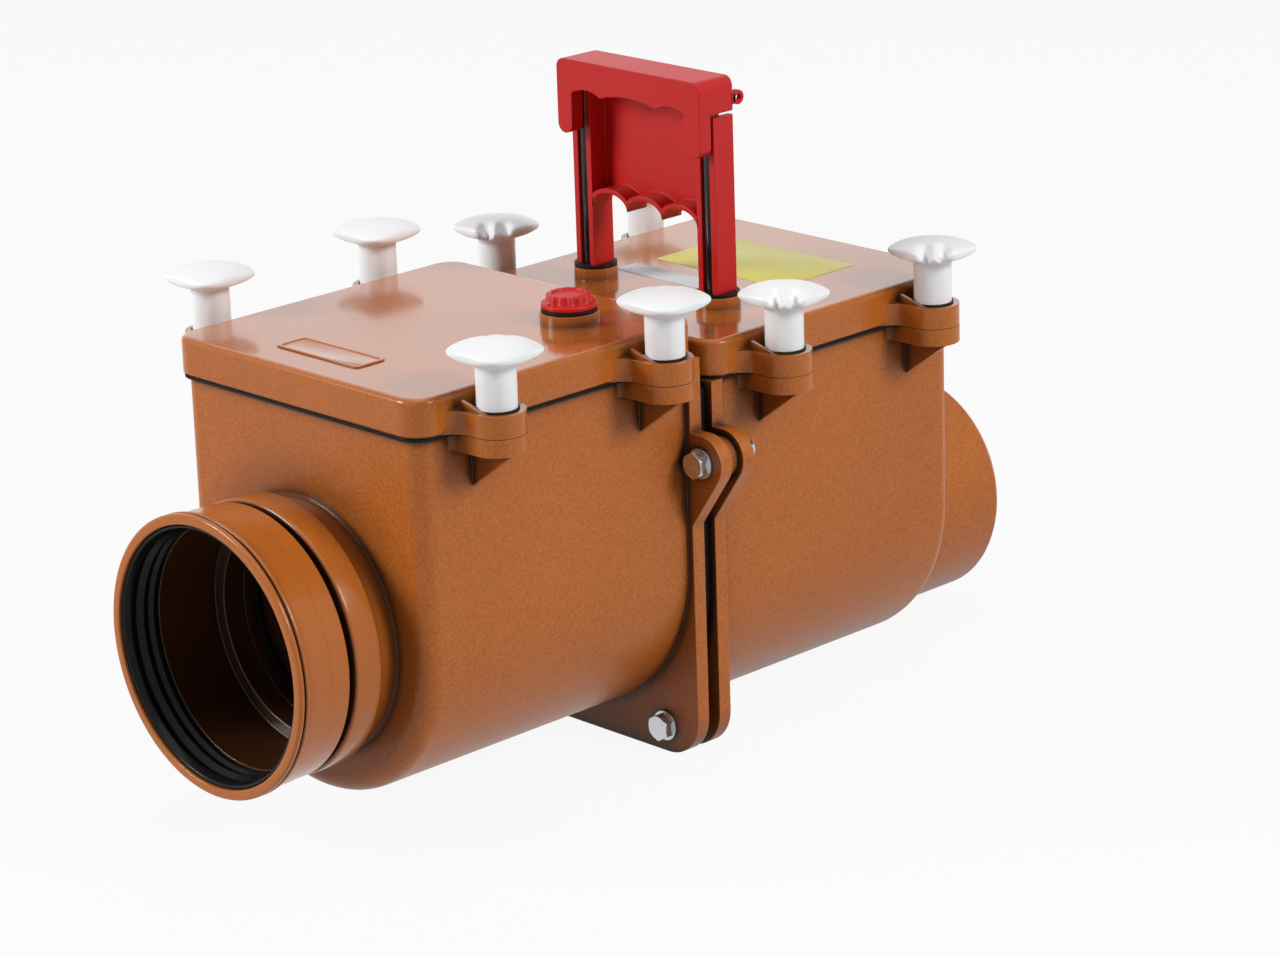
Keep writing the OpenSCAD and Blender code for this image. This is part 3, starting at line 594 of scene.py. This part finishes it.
TOP_ROWS, TOP_END = 24, 0.03
RING_SEGMENTS = 80
STEM_SHADE_RING = [(10.05, 0.1), (10.9, 0.1), (10.9, 0.7), (10.6, 1.0), (10.05, 1.0)]


def smooth_step(value):
    """0 below 0, 1 above 1, and 3 v^2 - 2 v^3 between."""
    held = np.clip(value, 0, 1)
    return held * held * (3 - 2 * held)


def hollow(r, angle, turn):
    """1 in the two finger hollows, 0 elsewhere: a bell across each of two bands beside the line at
    turn, faded in along that line by a smooth step."""
    along, aside = r * np.cos(angle - turn), r * np.sin(angle - turn)
    bell = np.exp(-(((np.abs(aside) - HOLLOW_ASIDE) / HOLLOW_WIDTH) ** 2))
    return bell * smooth_step((along - HOLLOW_START) / HOLLOW_RUN)


def crown(r, angle, turn, depth):
    """Top of the head: falls as a power of the radius, and by up to HOLLOW_DIP in the hollows."""
    dome = CROWN_TOP - CROWN_DROP * (r / HEAD_CORNER) ** CROWN_POWER
    return dome - depth * HOLLOW_DIP * hollow(r, angle, turn)


def underside(r):
    """Cone from the stem out to the corners, less an exponential fillet at the stem."""
    cone = HEAD_LOW + HEAD_FLARE * (r - STEM) / (HEAD_CORNER - STEM)
    return cone - np.exp(-(r - STEM) / FILLET)


def round_loops(r, z, angle):
    """Loops of (r cos a, r sin a, z), for radii and heights given loop by loop or point by point."""
    return np.stack(np.broadcast_arrays(r * np.cos(angle), r * np.sin(angle), z), axis=-1)


def axis_place(node, z):
    """Point at height z on the upright line through the middle of a node's box."""
    low, high = np.array(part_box(node))
    return np.append((low + high)[:2] / 2, z)


def clamp_loops(turn, depth, segments=240):
    """Loops from foot to crown; the rounded square is r = (|cos a|^n + |sin a|^n)^(-1/n)."""
    angle = full_turn(segments)
    sides = np.abs(np.cos(angle)) ** SQUARENESS + np.abs(np.sin(angle)) ** SQUARENESS
    square = sides ** (-1 / SQUARENESS)
    inner = HEAD_HALF * square - EDGE
    inner = inner - depth * HOLLOW_CUT * hollow(inner, angle, turn)
    stem = np.array(STEM_STEPS)[:, :, None] * np.ones(segments)
    under_r = STEM + (inner - STEM) * np.linspace(0, 1, UNDER_ROWS)[:, None] ** UNDER_POWER
    under = np.stack([under_r, underside(under_r)], axis=1)
    low, high = underside(inner), crown(inner, angle, turn, depth)
    lean = np.radians(np.linspace(-EDGE_LEAN, EDGE_LEAN, EDGE_ROWS))[:, None]
    edge_z = (low + high) / 2 + (high - low) / 2 * np.sin(lean)
    edge = np.stack([inner + EDGE * np.cos(lean), edge_z], axis=1)
    top_r = inner * np.linspace(1, TOP_END, TOP_ROWS)[:, None]
    top = np.stack([top_r, crown(top_r, angle, turn, depth)], axis=1)
    r, z = np.concatenate([stem, under, edge, top]).transpose(1, 0, 2)
    return round_loops(r, z, angle)


def mould_clamp(lid, node, turn, depth):
    """Clamp with bayonet lugs, on the axis of its node, and a black ring of painted shade at its foot."""
    place = axis_place(node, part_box(node)[1][2] - CROWN_TOP * MM)
    loops = clamp_loops(turn, depth)
    lugs = plate_loops(LUG_HALF, LUG_CORNER, LUG_STEPS)
    points = np.concatenate([loops.reshape(-1, 3), lugs.reshape(-1, 3)]) * MM + place
    faces = stacked_faces(loops) + stacked_faces(lugs, loops.shape[0] * loops.shape[1])
    piece = put_mesh("moulded_" + node, points, faces, white_clamp, node)
    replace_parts(piece, node)
    # painted shade: a thin black ring round the foot of the stem
    r, z = np.array(STEM_SHADE_RING).T[:, :, None]
    ring = round_loops(r, z, full_turn(RING_SEGMENTS))
    shade_ring = put_mesh("ring_" + node, ring * MM + place, band_faces(ring), black_rubber, lid)


INLET_TURN, INLET_DEPTH = np.radians(45), 0.08
OUTLET_TURN, OUTLET_DEPTH = np.radians(225), 1.0
for number in range(1, 5):
    mould_clamp("inlet_lid", f"inlet_clamp_{number}", INLET_TURN, INLET_DEPTH)
    mould_clamp("outlet_lid", f"outlet_clamp_{number}", OUTLET_TURN, OUTLET_DEPTH)
print("eight clamps moulded")

# %% [markdown]
# ## The test cap
#
# The red cap of the test opening is a low fluted knob on a flange, with a shank that reaches down
# into its collar. Its loops are circles, apart from the grip, whose radius swings with a cosine for
# the flutes.

# %% Cap from loops
FLUTES = 14
CAP_GAP = 0.2 * MM
CAP_STEPS = [(7.6, -13.0, 0.0), (8.0, -12.6, 0.0), (8.0, 0.0, 0.0), (13.9, 0.0, 0.0), (14.2, 0.3, 0.0)]
CAP_STEPS += [(14.2, 1.9, 0.0), (13.7, 2.4, 0.0), (11.6, 2.5, 0.3), (11.2, 2.9, 0.55)]
CAP_STEPS += [(10.9, 6.2, 0.55), (10.5, 6.9, 0.45)]
CAP_STEPS += [(9.9, 7.1, 0.2), (8.6, 7.0, 0.0), (8.2, 6.2, 0.0), (2.0, 6.0, 0.0)]


def cap_loops(steps, segments=168):
    """Loops of (radius, height, swing) steps: at angle a the radius is r + swing cos(FLUTES a)."""
    r, z, swing = np.array(steps).T[:, :, None]
    angle = full_turn(segments)
    return round_loops(r + swing * np.cos(FLUTES * angle), z, angle)


cap_place = axis_place("test_cap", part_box("test_cap_seal")[1][2] + CAP_GAP)
loops = cap_loops(CAP_STEPS)
cap = put_mesh("fluted_test_cap", loops * MM + cap_place, stacked_faces(loops), red_handle, "test_cap")
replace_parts(cap, "test_cap")
print("test cap fluted")

# %% [markdown]
# ## The dark line under the lids
#
# A thin black strip lies round each chamber, just under the skirt of its lid, and shows as a thin
# dark line: painted shadow, standing for the shade under the skirt. Its section is a small
# rectangle that is carried round the outline of the lid, a little further in.

# %% Strips under the skirts
LID_HALF = (95.0, 92.5)
LID_CORNER = 13.0
SKIRT = 20.0 * MM
SHADOW_STRIP_SECTION = [(3.6, -1.3), (0.6, -1.3), (0.6, -0.1), (3.6, -0.1)]


def shadow_strip_under(name, lid):
    """Closed band: each (inset, height) corner of the section gives one rounded loop."""
    middle = axis_place(lid + "_gasket", lid_tops[lid] - SKIRT)
    loops = plate_loops(LID_HALF, LID_CORNER, SHADOW_STRIP_SECTION)
    # painted shadow: a black band just under the skirt
    strip = put_mesh(name, loops * MM + middle, band_faces(loops), black_rubber, "root")
    return strip


shadow_strip_under("inlet_strip", "inlet_lid")
shadow_strip_under("outlet_strip", "outlet_lid")
print("strips laid under both skirts")

# %% [markdown]
# ## The handle
#
# The red handle is all flat outlines, drawn across and up, and pushed along the flow: the panel,
# the rim of its three finger arches, and the grip bar, whose outline changes on the way from front
# to back: first with two tabs, then only with shallow arches, then straight. The finger arches are
# half ellipses, so that they meet in sharp points. The legs are rectangles pushed upwards, each in
# two halves with a slot between them.

# %% Handle from outlines
BAR_HALF = 52.5
BAR_LOW = 221.5
BAR_TOP = 239.5
SHOULDER = 5.0
ARCH_ENDS = [-42.0, -20.5, 20.5, 42.0]
ARCH_RISE = 3.0
FINGER_HALF = 13.0
FINGER_LOW = 159.7
FINGER_RISE = 8.0
FINGER_RIM = 2.6
LEG_FACES = (307.75, 322.25)
LEG_Y = 45.75
LEG_HALF = 6.75
SLOT_HALF = 3.25
SLOT_LOW = 113.0
LEG_END = 68.0
BAR_FRONT = 297.75
TAB_BACK = 305.75
TAB_HALF = 5.25
TAB_MIDDLE = 204.75
PANEL_FRONT = 318.75
SLIT = 2.0
EYE = (326.75, 227.5)
EYE_RADII = (1.9, 3.8)
EYE_SIDES = (-52.5, -49.5)
STUB_HALF = 3.04
OVERLAP = 0.5
STEP = 0.25
HAIR = 0.02
TAB_POINTS = 24
BAR_POINTS = 339
PANEL_POINTS = 317


def arc(centre, radius, start, end, steps=10):
    """Points of a circle between two angles in degrees."""
    turn = np.radians(np.linspace(start, end, steps))
    return np.array(centre) + radius * np.stack([np.cos(turn), np.sin(turn)], axis=-1)


def arch_edge(y):
    """Lower edge of the bar: caps of height h over half chords c, with r = (c^2 + h^2) / 2h."""
    edge = np.full_like(y, BAR_LOW)
    for low, high in zip(ARCH_ENDS, ARCH_ENDS[1:]):
        radius = (((high - low) / 2) ** 2 + ARCH_RISE**2) / (2 * ARCH_RISE)
        cap = np.sqrt(np.maximum(radius**2 - (y - (low + high) / 2) ** 2, 0)) - radius + ARCH_RISE
        edge += np.where((y > low) & (y < high), cap, 0)
    return edge


def finger_edge(y, grow):
    """Highest of three half ellipses, each (y / a)^2 + (z / b)^2 = 1 above the line of their points."""
    a, b = FINGER_HALF + grow, FINGER_RISE + grow
    humps = [np.sqrt(np.maximum(1 - ((y - 2 * FINGER_HALF * i) / a) ** 2, 0)) for i in (-1, 0, 1)]
    return FINGER_LOW + b * np.max(humps, axis=0)


def rectangle(low, high):
    """Four corners, anticlockwise."""
    return np.array([low, (high[0], low[1]), high, (low[0], high[1])])


def prism(outline, start, end, upwards=False):
    """Two loops of an outline: (y, z) pushed along x, or (x, y) pushed upwards, from start to end."""
    ends = [np.full(len(outline), place) for place in (start, end)]
    return np.stack([np.column_stack([outline, e] if upwards else [e, outline]) for e in ends])


def bar_loop(x, tabs, arched):
    """Outline of the bar at x: tabs or none, arched or straight below, round shoulders."""
    middle = BAR_HALF - TAB_HALF
    ends = [arc((side * middle, TAB_MIDDLE), TAB_HALF, 180, 360, TAB_POINTS) for side in (-1, 1)]
    if not tabs:
        ends = [np.stack([end[:, 0], np.full(len(end), BAR_LOW)], axis=-1) for end in ends]
    y = np.linspace(ARCH_ENDS[0], ARCH_ENDS[-1], BAR_POINTS)[1:-1]
    low = np.stack([y, arch_edge(y) if arched else np.full_like(y, BAR_LOW)], axis=-1)
    side, height = BAR_HALF - SHOULDER, BAR_TOP - SHOULDER
    shoulders = [arc((side, height), SHOULDER, 0, 90), arc((-side, height), SHOULDER, 90, 180)]
    outline = np.concatenate([ends[0], low, ends[1], *shoulders])
    return np.column_stack([np.full(len(outline), x), outline])


def bar_loops():
    """Grip bar from front to back: with tabs, then without them, then with a straight lower edge."""
    front = [bar_loop(BAR_FRONT, True, True), bar_loop(TAB_BACK, True, True)]
    middle = [bar_loop(TAB_BACK + STEP, False, True), bar_loop(LEG_FACES[0], False, True)]
    back = [bar_loop(LEG_FACES[0] + STEP, False, False), bar_loop(LEG_FACES[1], False, False)]
    return np.stack(front + middle + back)


def leg_prisms(sign):
    """Both halves of a leg, the outer one cut short by the slit, and the foot under the slot."""
    faces, middle = (LEG_FACES[0] + HAIR, LEG_FACES[1] - HAIR), sign * LEG_Y
    halves = []
    for side, top in ((-sign, BAR_LOW + OVERLAP), (sign, BAR_LOW - SLIT)):
        y = np.sort(middle + side * np.array([SLOT_HALF, LEG_HALF]))
        plan = rectangle((faces[0], y[0]), (faces[1], y[1]))
        halves.append(prism(plan, SLOT_LOW - OVERLAP, top, upwards=True))
    foot = rectangle((faces[0], middle - LEG_HALF), (faces[1], middle + LEG_HALF))
    return [*halves, prism(foot, LEG_END, SLOT_LOW, upwards=True)]


def panel_prisms():
    """Panel between the legs and the rim of its finger arches."""
    y = np.linspace(-3 * FINGER_HALF - OVERLAP, 3 * FINGER_HALF + OVERLAP, PANEL_POINTS)
    arches = np.stack([y, finger_edge(y, 0.0)], axis=-1)
    rim = np.stack([y, finger_edge(y, FINGER_RIM)], axis=-1)[::-1]
    top = np.array([(y[-1], BAR_LOW + OVERLAP), (y[0], BAR_LOW + OVERLAP)])
    panel = prism(np.concatenate([arches, top]), PANEL_FRONT, LEG_FACES[1] - HAIR)
    return [panel, prism(np.concatenate([arches, rim]), LEG_FACES[0] + HAIR, PANEL_FRONT + OVERLAP)]


def eye_band(segments=48):
    """Flat ring: inner, outer, outer and inner loops of (r sin a, r cos a) at its two sides."""
    turn = full_turn(segments)
    r, y = rectangle((EYE_RADII[0], EYE_SIDES[0]), (EYE_RADII[1], EYE_SIDES[1])).T[:, :, None]
    across = np.broadcast_arrays(EYE[0] + r * np.sin(turn), y, EYE[1] + r * np.cos(turn))
    return np.stack(across, axis=-1)


def mould_handle():
    """All prisms of the handle and the eye in one mesh, in the place of the plainer handle."""
    solids = [bar_loops(), *panel_prisms(), *leg_prisms(-1), *leg_prisms(1)]
    stub = rectangle((EYE_SIDES[0], EYE[1] - STUB_HALF), (EYE_SIDES[1], EYE[1] + STUB_HALF))
    solids.append(prism(stub, LEG_FACES[1] - OVERLAP, EYE[0] - EYE_RADII[0] - OVERLAP))
    points, faces, first = [], [], 0
    for solid in solids:
        points.append(solid.reshape(-1, 3))
        faces += stacked_faces(solid, first)
        first += len(points[-1])
    eye = eye_band()
    points.append(eye.reshape(-1, 3))
    faces += band_faces(eye, first)
    piece = put_mesh("moulded_handle", np.concatenate(points) * MM, faces, red_handle, "handle")
    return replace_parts(piece, "lock_handle")


mould_handle()
print("handle moulded")

# %% [markdown]
# ## Rods in the handle
#
# Each leg of the red handle has a long slot, and a thin glossy black rod stands in it from the lid
# to the grip bar: painted shade, a dark piece where the slot lies in deep shade. A rod is again a
# stack of loops, with domed ends.

# %% Rods in the slots
ROD_R = 3.0
ROD_X = 311.0
ROD_ENDS = (SLOT_LOW + SLIT, BAR_LOW - SLIT)
DOME_LEAN = 80


def rod_loops(low, high, rows=6, segments=40):
    """Circles of radius R cos b, R sin b beyond the low end for b < 0 and the high end for b > 0."""
    dome = np.linspace(0, DOME_LEAN, rows)
    lean = np.radians(np.concatenate([-dome[::-1], dome]))[:, None]
    ends = np.repeat([low, high], rows)[:, None]
    return round_loops(ROD_R * np.cos(lean), ends + ROD_R * np.sin(lean), full_turn(segments))


# painted shade: glossy black rods that darken the slots of the legs
for side, sign in (("right", -1), ("left", 1)):
    loops = rod_loops(*ROD_ENDS) + np.array([ROD_X, sign * LEG_Y, 0.0])
    rod = put_mesh(f"handle_rod_{side}", loops * MM, stacked_faces(loops), slot_shade_rod, "handle")
print("rods stand in both legs")

# %% [markdown]
# ## Floor and light
#
# The valve stands on a plain white table in a white room. The room is a pale world that the camera
# and reflections see as white; three large soft lamps shape the faces and leave a faint shadow on
# the floor.

# %% Floor and light
FLOOR_HALF = 6.0
FLOOR_COLOUR = (0.60, 0.60, 0.60, 1)
FLOOR_GLOW = 0.92
ROOM_FILL = 0.10
CENTRE = np.array([0.26, 0.0, 0.05])
LAMPS = [
    ("right", 0.8, 50.0, (0.95, -2.3, 1.6)),
    ("left", 0.9, 62.0, (-1.9, 1.4, 1.3)),
    ("top", 1.8, 17.0, (0.3, -0.3, 2.5)),
]


def seen_by_eye(tree):
    """1 for rays from the camera, straight or by way of a mirror or glass, and 0 for the rest."""
    path = tree.nodes.new("ShaderNodeLightPath")
    seen = Value(tree, path.outputs["Is Camera Ray"]) + Value(tree, path.outputs["Is Glossy Ray"])
    return (seen + Value(tree, path.outputs["Is Transmission Ray"])).clamp()


def add_floor(z):
    """One large square under the valve, with a white finish."""
    mesh = bpy.data.meshes.new("floor")
    corners = [(x * FLOOR_HALF, y * FLOOR_HALF, z) for x, y in ((-1, -1), (1, -1), (1, 1), (-1, 1))]
    mesh.from_pydata(corners, [], [(0, 1, 2, 3)])
    floor = bpy.data.objects.new("floor", mesh)
    bpy.context.collection.objects.link(floor)
    material, shader, where = new_material("floor_white")
    connect(shader, Base_Color=FLOOR_COLOUR, Roughness=0.9)
    glow = where.node("ShaderNodeEmission", Color=FLOOR_COLOUR, Strength=1.0 / FLOOR_COLOUR[0])
    share = seen_by_eye(where.tree) * FLOOR_GLOW
    lit = Value(where.tree, shader.outputs["BSDF"])
    both = where.node("ShaderNodeMixShader", **{"#0": share, "#1": lit, "#2": glow})
    where.tree.links.new(both.socket, where.tree.nodes["Material Output"].inputs["Surface"])
    mesh.materials.append(material)
    return floor


def add_lamp(name, size, power, place, aim):
    """A square soft lamp of that size and power, turned to aim."""
    data = bpy.data.lights.new(name, "AREA")
    data.shape, data.size, data.energy = "SQUARE", size, power
    lamp = bpy.data.objects.new(name, data)
    back = np.array(place) - np.array(aim)
    back /= np.linalg.norm(back)
    side = np.cross([0, 0, 1.0], back)
    side /= np.linalg.norm(side)
    turn = np.eye(4)
    turn[:3, 0], turn[:3, 1], turn[:3, 2], turn[:3, 3] = side, np.cross(back, side), back, place
    lamp.matrix_world = Matrix(turn.tolist())
    bpy.context.collection.objects.link(lamp)
    return lamp


def white_room(fill):
    """World that camera, glossy and transmission rays see as white, with less of it as fill light."""
    world = bpy.data.worlds.new("white_room")
    world.use_nodes = True
    bpy.context.scene.world = world
    tree = world.node_tree
    background = tree.nodes["Background"]
    background.inputs["Color"].default_value = (1, 1, 1, 1)
    strength = seen_by_eye(tree) * (1.0 - fill) + fill
    tree.links.new(strength.socket, background.inputs["Strength"])
    return world


white_room(ROOM_FILL)
add_floor(cad_box[0][2])
for name, size, power, place in LAMPS:
    add_lamp(name, size, power, place, CENTRE)
bpy.context.scene.view_settings.view_transform = "Standard"
print("room lit")
